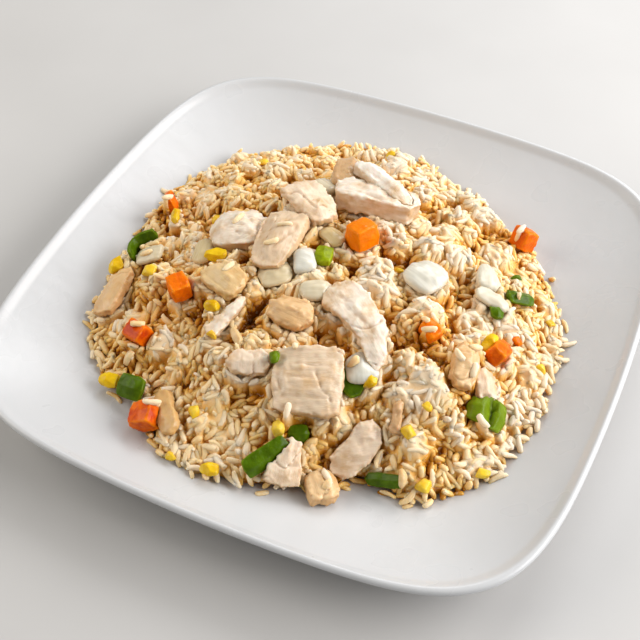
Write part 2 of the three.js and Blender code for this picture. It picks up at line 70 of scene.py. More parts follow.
# Rings of the plate's mesh: in the recess, up the back, round the lip, and down the front.
UNDER_SHARES = (0.2, 0.4)
BACK_SHARES = np.linspace(FOOT_SHARE + 0.004, 0.975, 18)
LIP_TURNS = np.radians(np.linspace(-65, 100, 12))
FRONT_SHARES = [
    *np.linspace(0.981, 0.93, 12), *np.linspace(0.92, WELL_SHARE, 16), 0.45, 0.3, 0.12,
]

# ---- Rice heap ----

HEAP_PEAK_Z = 39
HEAP_EDGE = 2.5  # one grain thick where the heap ends
HEAP_RISE_POWER = 2.6
HEAP_CROWN_POWER = 0.9
# Reach of the heap from the middle of the plate, every 15 degrees from -X counterclockwise.
HEAP_REACH = np.array([
    103, 105, 110, 108, 101, 110, 107, 99, 93, 110, 112, 107,
    104, 104, 100, 101, 96, 100, 105, 109, 110, 111, 111, 107,
])
# Clumps and hollows of the heap: x, y, radius, height.
HEAP_CLUMPS = [
    (61, -40, 12, 6), (62, -67, 9, 5), (46, -6, 9, 3), (28, -6, 8, 2.5), (40, 32, 12, 3),
    (68, -22, 8, 3), (-20, -80, 14, 3), (-40, -60, 11, 2), (-72, -45, 12, 3), (-60, 40, 15, 4),
    (-75, 62, 14, 4), (-34, 90, 13, -4), (8, 88, 14, 4), (38, 80, 11, 4), (88, 0, 9, 3),
    (92, -22, 9, 3), (85, -58, 9, 3), (0, -92, 12, 3), (80, 48, 10, 3), (-92, 8, 10, 2),
    (-8, 29, 9, -7), (31, -39, 5, -4), (-17, -36, 6, -3), (-52, 46, 8, -4), (42, 44, 7, -3),
    (-70, 4, 6, -3), (22, -78, 7, -5), (-58, 8, 5, -3), (90, 14, 6, -3), (-15, 56, 8, -3),
]
# Sticky pale clumps, where the grains run into each other: x, y, radius.
STICKY_CLUMPS = [
    (61, -40, 13), (62, -67, 10), (46, -6, 8), (-16, -82, 8), (68, -14, 7), (92, -8, 8),
    (-62, 60, 9), (-34, 66, 8), (-7, 84, 9), (40, 70, 9), (66, 48, 9), (-78, -8, 8), (-52, -62, 9),
    (-70, -50, 7), (42, 18, 8), (88, 36, 8), (34, -62, 7), (86, -38, 8), (-82, 34, 8), (2, -66, 7),
]
STICKY_RISE = 0.05  # of the stuck rice there over the mean of the grains
CORE_RINGS = 160
CORE_REACH = 0.96  # the core ends just inside the heap's edge
CORE_START = 4.5  # depth of the plain mound that the pressed grains are heaped on
DOMES = 190  # clumps of grains that stick together all over the heap
DOME_RADIUS = (5, 12)
DOME_STANDS = (0.6, 2.2)  # mean and spread of how far they stand out of the heap
VALLEY = 7  # how deep the valleys between them may be
# Clumps that stand up on the heap's skyline: x, y, radius, how far they stand out.
SKYLINE_DOMES = [
    (-86, 68, 9, 3.5), (-7, 94, 8, 3.5), (38, 79, 9, 6), (46, 73, 9, 6.5), (-103, 8, 7, 3),
]

CELL = 0.5  # of the height map that the grains are laid on
MAP_HALF = 122
PRESSED_DEPTH = (1.2, 2.6)  # how far under the mound the pressed grains stop
PRESSED_TRIES = 26000
GRAINS = 7000  # loose ones on top
BATCH = 150  # grains laid between looks at where the heap is low
REST_STATIONS = np.array([-0.9, -0.45, 0, 0.45, 0.9])  # of a grain's half length
NEST = 0.5  # how much of its thickness a grain sinks between those under it
STEEPEST = 1.0  # slope that a grain lies at
TIPPED_SHARE = 0.5  # of the grains, whose one end is tipped out of the heap
TIPPED_BY = 0.55  # spread of the slopes that tip them
PRESSED_TILT = 0.15  # spread of the slopes that tip the pressed ones
TOPPING_GAP = 0.6  # between the rice and the underside of a topping
BUNDLE = (1, 4)  # loose grains side by side: at least one, and fewer than 4
BUNDLE_PITCH = 2.1
BUNDLE_SHIFT = 2  # along each other
BUNDLE_TURN = 0.4  # spread of their yaws
# How far the grains of a bundle may stand out of the mound, and how often.
SLACKS = {0.2: 0.5, 0.8: 0.35, 1.8: 0.15}
EDGE_GRAINS = 16  # loose on the plate round the heap
EDGE_BAND = (-2, 1.5)  # where they lie, from the heap's edge
# Kinds of grain: share of all, length, width, thickness, bend.
GRAIN_KINDS = {
    "rice_long": (0.31, 8.3, 2.4, 2.15, 0.06),
    "rice_plump": (0.25, 6.9, 2.9, 2.5, 0.04),
    "rice_curved": (0.24, 7.7, 2.55, 2.25, 0.12),
    "rice_broken": (0.20, 4.8, 2.8, 2.4, 0.03),
}
GRAIN_RINGS = np.array([-0.9, -0.5, 0, 0.5, 0.9])[:, None]
GRAIN_SIDES = 7
SHOWN_CELLS = 3  # a grain of which fewer can be seen from above is left out
GRAIN_DENTS = 0.3  # unevenness of the grains' surface
GRAIN_ROLL = 0.7  # about their own length, either way
# Painted shade: the rice turns amber under the tops of the grains and under the tops of the clumps,
# where shade falls: where each begins, over what depth, and its share. A real stain varies from
# place to place and from grain to grain.
NEAR_SHADE = (0.4, 2.4, 0.09)
FAR_SHADE = (2.0, 5.5, 0.68)
STAIN_PATCHES = 0.14
STAIN_SPREAD = 0.08
STUCK_SHADE = 0.05  # painted shade: more amber on the stuck rice that lies between the grains
BANK_CELLS = 6  # rice climbs the toppings' sides this near to them
BANK_DROP = 2.8  # and stays this far under their tops
BANK_HEIGHT = 3  # and this near to the mound
# How far the stuck rice lies under the loose grains on top of a clump, its spread from clump to
# clump and within one, and how much more for each millimetre down into a hollow.
PASTE_DEPTH = (0.28, 0.5, 0.4, 0.2)
PASTE_RANGE = (0.1, 1.7)  # its least and its greatest
CORE_RIM = 1.2  # height of the core's edge over the plate
CORE_UNDER = 0.4  # and of its underside, which has fewer rings
UNDER_RINGS = 12
# Grains that lie over the edge of a topping: x, y, yaw.
GRAINS_ON_TOPPINGS = [
    (-64, -60, 20), (14, -76, 95), (-26, -9, 40), (84, -43, -20), (30, -84, 10), (38, -92, 60),
    (36, -87, -35), (-40, -90, 30), (64, 66, 80), (51, -20, 15), (48, -16, -50), (76, 24, 120),
    (-93, 15, 60), (-38, -26, 75), (22, -9, -15), (-84, -20, 30), (71, -19, 40), (74, -29, 95),
    (67, -27, -20), (-25, 2, 20), (-47, 1, 80), (6, -52, 115), (29, -46, 60),
]


def plate_form(share, angle):
    """Reach of the superellipse at a share of the way to the rim, blown up to the rim's size."""
    power = WELL_SQUARENESS + (RIM_SQUARENESS - WELL_SQUARENESS) * share ** 2
    across = np.abs(np.cos(angle)) ** power + np.abs(np.sin(angle)) ** power
    return PLATE_HALF * (1 - CORNER_CUT * np.sin(2 * angle) ** 2) * across ** (-1 / power)


def wall_z(share):
    climb = np.maximum(0, (share - WELL_SHARE) / (1 - WELL_SHARE))
    return WELL_Z + (PLATE_HEIGHT - WELL_Z) * climb ** RISE_POWER


def plate_top(x, y):
    angle = np.arctan2(y, x)
    share = 0.5
    for _ in range(12):
        share = np.hypot(x, y) / plate_form(share, angle)
    return wall_z(share)


def heap_reach(angle):
    count = len(HEAP_REACH)
    turn = ((np.degrees(angle) + 540) % 360) * count / 360
    before = np.floor(turn).astype(int) % count
    ease = (1 - np.cos(np.pi * (turn - np.floor(turn)))) / 2
    return HEAP_REACH[before] + (HEAP_REACH[(before + 1) % count] - HEAP_REACH[before]) * ease


def heap_share(x, y):
    return np.hypot(x, y) / heap_reach(np.arctan2(y, x))


def heap_top(x, y):
    """The mound with its clumps, as high as the grains lie."""
    share = np.minimum(1, heap_share(x, y))
    edge = plate_top(x, y) + HEAP_EDGE
    z = edge + (HEAP_PEAK_Z - edge) * (1 - share ** HEAP_RISE_POWER) ** HEAP_CROWN_POWER
    for clump_x, clump_y, radius, height in HEAP_CLUMPS:
        away = np.hypot(x - clump_x, y - clump_y) / radius
        z = z + height * np.exp(-away * away) * (1 - share ** 8)
    return np.maximum(z, edge)


def stickiness(x, y):
    """1 in the middle of a sticky clump, falling to 0 at its edge."""
    amount = 0
    for clump_x, clump_y, radius in STICKY_CLUMPS:
        away = np.hypot(x - clump_x, y - clump_y) / radius
        amount = np.maximum(amount, np.clip(1.6 * (1 - away), 0, 1))
    return amount


# ---- Numbers and meshes ----

HASH = np.array([374761393, 668265263, 1274126177])


def noise(points, seed=0):
    """Smooth noise from -1 to 1, with a lattice of one unit."""
    cell = np.floor(points).astype(np.int64)
    part = points - cell
    ease = part * part * (3 - 2 * part)
    total = np.zeros(len(points))
    for corner in itertools.product((0, 1), repeat=3):
        mixed = (cell + corner) @ HASH + seed * 7919
        mixed = (mixed ^ (mixed >> 13)) * 1103515245
        value = ((mixed ^ (mixed >> 16)) & 0xFFFF) / 0x7FFF - 1
        total += value * np.prod(np.where(corner, ease, 1 - ease), axis=1)
    return total


def turns(sides):
    """Angles of so many points round a ring."""
    return np.arange(sides) * 2 * math.pi / sides


def link(name, data):
    thing = bpy.data.objects.new(name, data)
    bpy.context.scene.collection.objects.link(thing)
    return thing


def set_positions(mesh, points):
    mesh.vertices.foreach_set("co", (np.asarray(points) * MM).astype(np.float32).ravel())


def make_mesh(name, points, quads, triangles):
    """A smooth-shaded mesh from points in millimetres."""
    mesh = bpy.data.meshes.new(name)
    mesh.vertices.add(len(points))
    set_positions(mesh, points)
    corners = np.concatenate([np.ravel(quads), np.ravel(triangles)]).astype(np.int32)
    sizes = np.repeat([4, 3], [len(quads), len(triangles)])
    mesh.loops.add(len(corners))
    mesh.loops.foreach_set("vertex_index", corners)
    mesh.polygons.add(len(sizes))
    mesh.polygons.foreach_set("loop_start", np.cumsum(sizes) - sizes)
    mesh.update(calc_edges=True)
    mesh.shade_smooth()
    return mesh


def bodies_mesh(name, bodies, sides):
    """Closed bodies as one mesh. Each has rings of so many points, then its low and high pole."""
    rings = bodies.shape[1] // sides
    side = np.arange(sides)
    after = (side + 1) % sides
    ring = np.arange(rings - 1)[:, None] * sides
    quads = np.stack([ring + side, ring + after, ring + sides + after, ring + sides + side], -1)
    low, top = rings * sides, (rings - 1) * sides
    fans = np.concatenate([
        np.stack([np.full(sides, low), after, side], -1),
        np.stack([np.full(sides, low + 1), top + side, top + after], -1),
    ])
    start = (np.arange(len(bodies)) * bodies.shape[1])[:, None, None]
    quads, fans = quads.reshape(-1, 4) + start, fans + start
    return make_mesh(name, bodies.reshape(-1, 3), quads.reshape(-1, 4), fans.reshape(-1, 3))


def set_attributes(mesh, **fields):
    """Writes a number or a vector for each vertex, or one number for all of them."""
    for name, values in fields.items():
        values = np.asarray(values, np.float32)
        if values.ndim == 0:
            values = np.full(len(mesh.vertices), values)
        kind, field = ("FLOAT", "value") if values.ndim == 1 else ("FLOAT_VECTOR", "vector")
        mesh.attributes.new(name, kind, "POINT").data.foreach_set(field, values.ravel())


def vectors(rows, field):
    flat = np.zeros(len(rows) * 3, np.float32)
    rows.foreach_get(field, flat)
    return flat.reshape(-1, 3).astype(float)


def positions(mesh):
    return vectors(mesh.vertices, "co") / MM


def normals(mesh):
    return vectors(mesh.vertex_normals, "vector")


def add_piece(name, mesh, node, material):
    """Puts a mesh in the scene in the place of a CAD node."""
    piece = link(name, mesh)
    mesh.materials.append(material)
    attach(piece, "root")
    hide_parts(node)
    return piece


# ---- Materials ----


class Shader:
    """A material whose nodes are made and wired in one call each."""

    def __init__(self, name, **settings):
        self.material = bpy.data.materials.new(name)
        self.material.use_nodes = True
        self.tree = self.material.node_tree
        self.set_surface(**settings)

    def set_surface(self, **sockets):
        sockets = {key.replace("_", " "): value for key, value in sockets.items()}
        self.wire(self.tree.nodes["Principled BSDF"], sockets)

    def wire(self, node, inputs):
        for key, value in inputs.items():
            if isinstance(value, bpy.types.NodeSocket):
                self.tree.links.new(value, node.inputs[key])
            else:
                node.inputs[key].default_value = value

    def node(self, kind, inputs, **properties):
        node = self.tree.nodes.new("ShaderNode" + kind)
        for key, value in properties.items():
            setattr(node, key, value)
        self.wire(node, inputs)
        return node

    def attribute(self, name, output="Fac"):
        return self.node("Attribute", {}, attribute_name=name).outputs[output]

    def place(self):
        """The mesh's own coordinates in millimetres."""
        return self.scaled(self.node("TexCoord", {}).outputs["Object"], (1 / MM,) * 3)

    def scaled(self, vector, scale):
        return self.node("Mapping", {"Vector": vector, "Scale": scale}).outputs["Vector"]

    def noise(self, vector, scale, detail=2, roughness=0.5):
        inputs = {"Vector": vector, "Scale": scale, "Detail": detail, "Roughness": roughness}
        return self.node("TexNoise", inputs).outputs["Fac"]

    def ramp(self, value, *stops):
        node = self.node("ValToRGB", {"Fac": value})
        elements = node.color_ramp.elements
        while len(elements) < len(stops):
            elements.new(1)
        for element, (place, color) in zip(elements, stops):
            element.position = place
            element.color = (*color, 1)
        return node.outputs["Color"]

    def fade(self, value, low, high):
        """0 at `low` and 1 at `high`, whichever is greater."""
        inputs = {"Value": value, "From Min": low, "From Max": high}
        return self.node("MapRange", inputs).outputs["Result"]

    def mix(self, amount, first, second):
        """Mixes two colours, each a socket or three numbers."""
        node = self.node("Mix", {0: amount}, data_type="RGBA")
        for key, color in ((6, first), (7, second)):
            is_socket = isinstance(color, bpy.types.NodeSocket)
            self.wire(node, {key: color if is_socket else (*color, 1)})
        return node.outputs[2]

    def bump(self, height, depth, normal=None):
        """Relief of `depth` millimetres."""
        inputs = {"Height": height, "Distance": depth * MM, "Strength": 1.0}
        if normal:
            inputs["Normal"] = normal
        return self.node("Bump", inputs).outputs["Normal"]

    def done(self, color, normal, roughness):
        self.set_surface(Base_Color=color, Normal=normal, Roughness=roughness)
        return self.material


def moist(name, glow, reach, depth, gloss, film=(0, 0.03), ior=1.42):
    """A shader for food that light enters, and its own coordinates. `glow` is the share of light
    that does, `reach` how far its colours go, to a depth in millimetres. The film of moisture over
    it has a weight and a roughness."""
    s = Shader(
        name, Subsurface_Weight=glow, Subsurface_Radius=reach, Subsurface_Scale=depth * MM,
        IOR=ior, Specular_IOR_Level=gloss, Coat_Weight=film[0], Coat_Roughness=film[1],
    )
    return s, s.attribute("own", "Vector")


def glaze():
    s = Shader("glaze", IOR=1.5)
    where = s.place()
    color = s.ramp(s.noise(where, 0.02, 3), (0.3, (0.54, 0.545, 0.55)), (0.7, (0.555, 0.56, 0.57)))
    waves = s.bump(s.noise(where, 0.06), 0.25)
    fine = s.bump(s.noise(where, 1.3), 0.001, waves)
    return s.done(color, fine, s.fade(s.noise(where, 0.05), -3.6, 11))


def rice(name, glow):
    s, own = moist(name, glow, (1.0, 0.97, 0.94), 2.6, 0.13)
    # the colour runs from cream to dark brown as the stain and the painted shade in the hollows
    # deepen
    base = s.ramp(
        s.attribute("stain"), (0.0, (0.80, 0.66, 0.51)), (0.14, (0.84, 0.65, 0.43)),
        (0.32, (0.87, 0.60, 0.31)), (0.55, (0.82, 0.47, 0.13)), (0.8, (0.60, 0.25, 0.02)),
        (1.0, (0.27, 0.08, 0.001)),
    )
    mottle = s.noise(own, 0.6, 3)
    clear = s.mix(s.fade(mottle, 0.55, 0.9), base, (0.82, 0.69, 0.52))
    warmed = s.mix(s.fade(s.noise(own, 0.25), 0.6, 1.2), clear, (0.80, 0.45, 0.12))
    color = s.mix(s.fade(s.noise(own, 1.1), 0.68, 0.82), warmed, (0.50, 0.20, 0.02))
    relief = s.bump(s.noise(s.scaled(own, (0.5, 1, 1)), 1.3, 4, 0.6), 0.15)
    return s.done(color, relief, s.fade(mottle, 0.1, 1.9))


def meat(name, tones, stain, crease_shade):
    """Cooked meat: fibres along X of its own coordinates, stained in blotches, with painted shade
    in its creases and on its sides. A piece has one of the tones, or one between them."""
    s, own = moist(name, 0.5, (1.0, 0.7, 0.5), 2.5, 0.3, (0.4, 0.14), ior=1.4)
    blotch = s.noise(own, 0.11, 4, 0.6)
    threads = s.noise(s.scaled(own, (0.12, 1, 1)), 0.9, 3, 0.55)
    base = s.ramp(s.attribute("tone"), *zip(np.linspace(0, 1, len(tones)), tones))
    mottled = s.mix(s.fade(blotch, 0.46, 0.72), base, stain)
    fibrous = s.mix(s.fade(threads, 0.4, 0.0), mottled, stain)
    # painted shade: the stain colour on the faces that turn away from the top
    sided = s.mix(s.attribute("side"), fibrous, stain)
    # painted shade: the darkest colour in the creases and hollows
    color = s.mix(s.attribute("hollow"), sided, crease_shade)
    fine = s.bump(s.noise(s.scaled(own, (0.2, 1, 1)), 3.0), 0.08, s.bump(threads, 0.2))
    return s.done(color, fine, s.fade(threads, -0.6, 1.6))


def onion():
    s, own = moist("onion", 0.55, (1.0, 0.9, 0.7), 3, 0.3, (0.3, 0.1))
    veins = s.noise(s.scaled(own, (0.08, 1, 0.4)), 0.75)
    white = s.ramp(veins, (0.35, (0.61, 0.59, 0.51)), (0.65, (0.67, 0.65, 0.57)))
    color = s.mix(s.attribute("tone"), white, (0.62, 0.46, 0.20))
    return s.done(color, s.bump(veins, 0.02), s.fade(veins, -0.2, 2.4))


def pepper(name, skin, flesh):
    s, own = moist(name, 0.12, (0.4, 1.0, 0.2), 1.5, 0.08, (0.08, 0.06), ior=1.45)
    blotch = s.noise(own, 0.25, 3)
    dark = s.mix(s.fade(blotch, 0.35, 0.7), [0.55 * part for part in skin], skin)
    shade = s.mix(s.attribute("tone"), dark, flesh)
    rimmed = s.mix(s.fade(s.attribute("edge"), 0.35, 1.7), shade, flesh)
    # painted shade: the concave places turn nearly black
    color = s.mix(s.attribute("hollow"), rimmed, [0.1 * part for part in skin])
    relief = s.bump(s.noise(own, 3), 0.05, s.bump(s.noise(own, 0.45), 0.35))
    return s.done(color, relief, s.fade(blotch, -0.3, 3))


def carrot():
    s, own = moist("carrot", 0.25, (1.0, 0.35, 0.1), 2, 0.1, (0.15, 0.06))
    blotch = s.noise(own, 0.2, 3)
    base = s.ramp(blotch, (0.36, (0.52, 0.042, 0.0004)), (0.6, (0.80, 0.14, 0.001)))
    # a lighter orange on the convex edges
    lighter_edges = s.mix(s.fade(s.attribute("edge"), 0.2, 0.9), base, (0.88, 0.26, 0.006))
    color = s.mix(s.attribute("tone"), lighter_edges, (0.92, 0.26, 0.002))
    grain = s.noise(s.scaled(own, (0.3, 1, 1)), 1.5, 3)
    relief = s.bump(grain, 0.2, s.bump(s.noise(own, 0.4), 0.5))
    return s.done(color, relief, s.fade(grain, -0.4, 1.9))


def corn():
    s, own = moist("corn", 0.3, (1.0, 0.7, 0.1), 2, 0.18, (0.2, 0.08))
    blotch = s.noise(own, 0.22, 3)
    yellow = s.ramp(blotch, (0.3, (0.62, 0.35, 0.004)), (0.62, (0.80, 0.53, 0.008)))
    pale = s.mix(s.fade(s.attribute("edge"), 0.5, 1.0), yellow, (0.84, 0.66, 0.16))
    color = s.mix(s.attribute("tone"), pale, (0.84, 0.68, 0.22))
    return s.done(color, s.bump(s.noise(own, 0.8), 0.3), s.fade(blotch, -0.2, 2.2))


def table_top():
    s = Shader("table_top")
    where = s.place()
    color = s.ramp(s.noise(where, 0.01, 3), (0.3, (0.50, 0.49, 0.48)), (0.7, (0.53, 0.52, 0.51)))
    s.set_surface(Base_Color=color, Roughness=0.6)
    return s.material


# ---- Plate ----


def plate_ring(share, z):
    turn = turns(PLATE_SIDES)
    angle = turn + CORNER_GATHER * np.sin(4 * turn)
    reach = share * plate_form(share, angle)
    return np.stack([reach * np.cos(angle), reach * np.sin(angle), np.full(PLATE_SIDES, z)], -1)


def upper_z(share):
    """The wall's upper face, with the bead that runs round its rim."""
    inset = (1 - share) * PLATE_HALF
    part = np.clip((inset - LIP_FADE[0]) / (LIP_FADE[1] - LIP_FADE[0]), 0, 1)
    return wall_z(share) + LIP_RISE * (1 - part * part * (3 - 2 * part))


def make_plate():
    foot_inside = FOOT_SHARE - FOOT_WIDTH / PLATE_HALF
    bevel = FOOT_BEVEL / PLATE_HALF
    profile = [(share, FOOT_RECESS) for share in (*UNDER_SHARES, foot_inside - 1.6 * bevel)]
    for turn in np.radians([15, 45, 75]):
        profile.append((foot_inside - bevel * math.cos(turn), FOOT_RECESS * (1 - math.sin(turn))))
    profile += [(foot_inside + 0.25 * bevel, 0), (FOOT_SHARE - 0.2 * bevel, 0)]
    for share in BACK_SHARES:
        profile.append((share, max(LEAST_LIFT, wall_z(share) - PLATE_THICKNESS)))
    lip = LIP_RADIUS / PLATE_HALF
    for turn in LIP_TURNS:
        drop = LIP_RADIUS * (1 - math.sin(turn))
        profile.append((1 - lip * (1 - math.cos(turn)), PLATE_HEIGHT - drop))
    profile += [(share, upper_z(share)) for share in FRONT_SHARES]
    rings = [plate_ring(share, z) for share, z in profile]
    body = np.concatenate([*rings, [(0, 0, FOOT_RECESS)], [(0, 0, WELL_Z)]])
    mesh = bodies_mesh("plate_glazed", body[None], PLATE_SIDES)
    add_piece("plate_glazed", mesh, "plate", glaze())


# ---- Toppings ----

# Each kind's mesh, as its voxel and rounds of smoothing, and the depths of its relief: swollen
# outwards all over, broad lumps, ridges along the fibres, raggedness of the edges, and cracks
# between bundles of fibres.
FORMS = {
    "chicken": (0.55, 2, 0.3, 0.7, 0.12, 1.1, 0.6),
    "carrot": (0.5, 3, 0.1, 0.5, 0.08, 0.5, 0),
    "onion": (0.5, 24, 0.8, 0.7, 0, 0.15, 0),
    "pepper": (0.5, 3, 0.1, 0.3, 0, 0.15, 0),
    "corn": (0.5, 3, 0.2, 0.25, 0, 0.2, 0),
}
# How fine the relief is, as cells of noise to the millimetre along the fibres and across them.
LUMP_PITCH = (0.12, 0.18, 0.18)
FIBRE_PITCH = (0.06, 0.6, 0.6)
CRACK_PITCH = (0.05, 0.16, 0.16)
CRACK_WIDTH = 0.05  # as a part of such a cell
TEAR_PITCH = 0.4
# Ways that the flat faces of slivers and kernels look, and how far out they lie.
FACETS = [(1, 0.4, 0.2), (-1, 0.5, 0.1), (0.1, 1, 0.4), (0, -1, 0.5), (0.1, 0, 1)]
FACET_REACH = (0.6, 0.8)
# Creases (depth over 0) and ridges (under 0) in the tops of single pieces: the ends' x and y, the
# width and the depth.
CREASES = {
    "chicken_slab": [
        (17.6, -58.1, 20.3, -61.1, 0.72, 1.07), (20.3, -61.1, 23.5, -64.3, 0.72, 1.07),
        (23.5, -64.3, 26.7, -64.6, 0.72, 0.92), (26.7, -64.6, 28.2, -67, 0.61, 0.77),
        (4.8, -60.7, 22.2, -54, 0.61, 0.54), (8.4, -64.6, 17.7, -61.1, 0.61, 0.46),
        (16.5, -69.7, 29.3, -64.8, 0.61, 0.46), (4.4, -65.3, 9.4, -71.2, 1.2, 1.28),
    ],
    "chicken_fold": [
        (-17.3, 19.5, -25.6, -7, 3.5, -1.6), (-34.8, 7.4, -33, -9.6, 2.5, 1.44),
        (-21.8, 13.7, -31.7, -6.5, 0.72, 0.54), (-20.1, 3.2, -26.1, -17.4, 0.83, 0.54),
        (-16.7, 10.2, -16.4, -0.6, 0.72, 0.54),
    ],
    "chicken_lobe": [
        (-54.1, -1.7, -43.4, 4.7, 0.61, 0.46), (-49.5, -6.4, -38.9, 1.8, 0.72, 0.54),
        (-44.3, -10.5, -35.6, -2.7, 0.72, 0.61), (-38.2, -14.7, -34.1, -7.6, 0.72, 0.61),
        (-46.4, 6.7, -37.7, -0.6, 2, 1.28), (-39.4, 8.5, -33.8, -6.1, 2, 1.28),
    ],
    "chicken_flap": [
        (-26.1, 22.7, -25.5, 22.9, 1, 0.72), (-21.4, 22.1, -21, 22, 0.96, 0.54),
        (-19.1, 27.6, -15.6, 13.9, 1, -0.64),
    ],
    "chicken_back_front": [
        (-12.1, 37.2, 12.5, 36.1, 0.83, 0.54), (-10.4, 50.1, 10.3, 38.1, 1.2, 0.8),
    ],
    "chicken_back_edge": [(-15, 55.5, 8, 42.5, 0.83, 0.46)],
    "chicken_curved": [
        (8.9, -21, 22, -24.1, 0.96, 0.46), (14, -24.2, 30.8, -32.2, 0.96, 0.46),
        (26.8, -22.9, 38.9, -38.6, 2.2, -0.64),
    ],
    "pepper_curved": [(84.5, -30, 86.8, -45, 1.7, 5)],
    "chicken_oval": [
        (-11.2, -34.6, 1.8, -29.1, 0.72, 0.31), (-7.5, -38.3, 2.1, -35.5, 0.72, 0.31),
    ],
    "chicken_under_pepper": [
        (20.9, -92.7, 27.2, -88.9, 0.83, 0.7), (21.5, -84, 26.8, -91.7, 1, -0.4),
    ],
    "chicken_right_slab": [
        (39.9, -78.2, 49.6, -71.4, 0.96, 0.54), (41.2, -70.7, 47.3, -74.6, 0.96, 0.39),
    ],
}
# Direction of the fibres in degrees from +X, and tone from 0, the kind's own colour, to 1.
LOOKS = {
    "chicken": {
        # back_top takes the darkest tone as painted shade, for a face that is turned away from the
        # light
        "back_edge": (-31, 0), "back_front": (2, 0.15), "back_top": (105, 1), "flap": (-33, 0.55),
        "fold": (96, 0.8), "lobe": (20, 0.28), "curved": (-38, 0.22), "slab": (24, 0.72),
        "oval": (-5, 0.4), "torn": (112, 0.45), "under_pepper": (105, 0.45),
        "right_slab": (35, 0.5), "chunk": (-50, 0), "curl": (20, 0.1), "curl_white": (-60, 0.6),
        "left_edge": (95, 0.3), "cream": (-20, 0.3), "strand": (72, 0.22), "shred_left": (-45, 0.8),
        "wedge": (100, 1),
    },
    "carrot": {
        # the top carrot's tone is painted light: a brighter orange, for its top face is lit
        "top": (60, 0.6), "left": (-40, 0.3), "chip": (25, 0.1), "left_low": (-15, 0),
        "front": (10, 0), "back_right": (50, 0.2), "right": (70, 0.15), "middle": (-30, 0.4),
    },
    "onion": {
        "yellow": (-30, 0.85), "left": (20, 0.5), "lobe": (105, 0.75), "back": (-30, 0.45),
        "shell": (35, 0.6), "centre": (25, 0.4), "large": (-20, 0.05), "right_upper": (115, 0.2),
        "right_lower": (0, 0.25), "front": (-60, 0),
    },
    "pepper": {
        "strip": (62, 0), "bent": (75, 0), "right": (35, 0), "curved": (5, 0.35),
        "hollow": (-25, 0), "sliver": (12, 0),
    },
    "corn": {
        "on_pepper": (120, 0.2),
    },
}


def even_mesh(node, voxel, rounds):
    """A node's own form as a mesh of small even faces, with its corners rounded a little."""
    rough = link(node + "_rough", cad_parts[node].data.copy())
    remesh = rough.modifiers.new("even", "REMESH")
    remesh.mode = "VOXEL"
    remesh.voxel_size = voxel * MM
    soften = rough.modifiers.new("soft", "SMOOTH")
    soften.factor = 0.5
    soften.iterations = rounds
    graph = bpy.context.evaluated_depsgraph_get()
    mesh = bpy.data.meshes.new_from_object(rough.evaluated_get(graph))
    mesh.materials.clear()
    mesh.name = node
    bpy.data.objects.remove(rough)
    return mesh


def softened(mesh, points, rounds):
    """Points moved towards their neighbours' middle, several times over."""
    ends = np.zeros(len(mesh.edges) * 2, np.int64)
    mesh.edges.foreach_get("vertices", ends)
    first, second = ends.reshape(-1, 2).T
    count = np.bincount(ends, minlength=len(points))
    for _ in range(rounds):
        total = np.stack([
            np.bincount(first, points[second, axis], len(points))
            + np.bincount(second, points[first, axis], len(points))
            for axis in range(3)
        ], -1)
        points = total / count[:, None]
    return points


def convexity(mesh, reach):
    """How far each vertex stands out of the shape round it, in millimetres."""
    points = positions(mesh)
    return np.einsum("ij,ij->i", points - softened(mesh, points, reach), normals(mesh))


def own_axes(points, yaw, middle):
    """Coordinates in millimetres from the piece's middle, X along its fibres."""
    turn = math.radians(yaw)
    x, y, z = (points - middle).T
    return np.stack([
        x * math.cos(turn) + y * math.sin(turn), y * math.cos(turn) - x * math.sin(turn), z,
    ], -1)


def along_line(points, start_x, start_y, end_x, end_y, width):
    """1 on a line across the top of a piece, falling to 0 beside it."""
    start = np.array([start_x, start_y])
    run = np.array([end_x, end_y]) - start
    part = np.clip((points[:, :2] - start) @ run / (run @ run), 0, 1)
    away = np.linalg.norm(points[:, :2] - start - part[:, None] * run, axis=1)
    away = np.abs(away + 0.7 * noise(points * (0.35, 0.35, 0), 8))
    return np.exp(-(away / width) ** 2) * np.sin(math.pi * np.clip(part, 0.1, 0.9))


def faceted(points):
    """A body round the origin with some of its sides pressed flat."""
    for facing in FACETS:
        way = np.array(facing) + rng.normal(0, 0.35, 3)
        way /= np.linalg.norm(way)
        out = points @ way
        points = points - np.maximum(0, out - out.max() * rng.uniform(*FACET_REACH))[:, None] * way
    return points


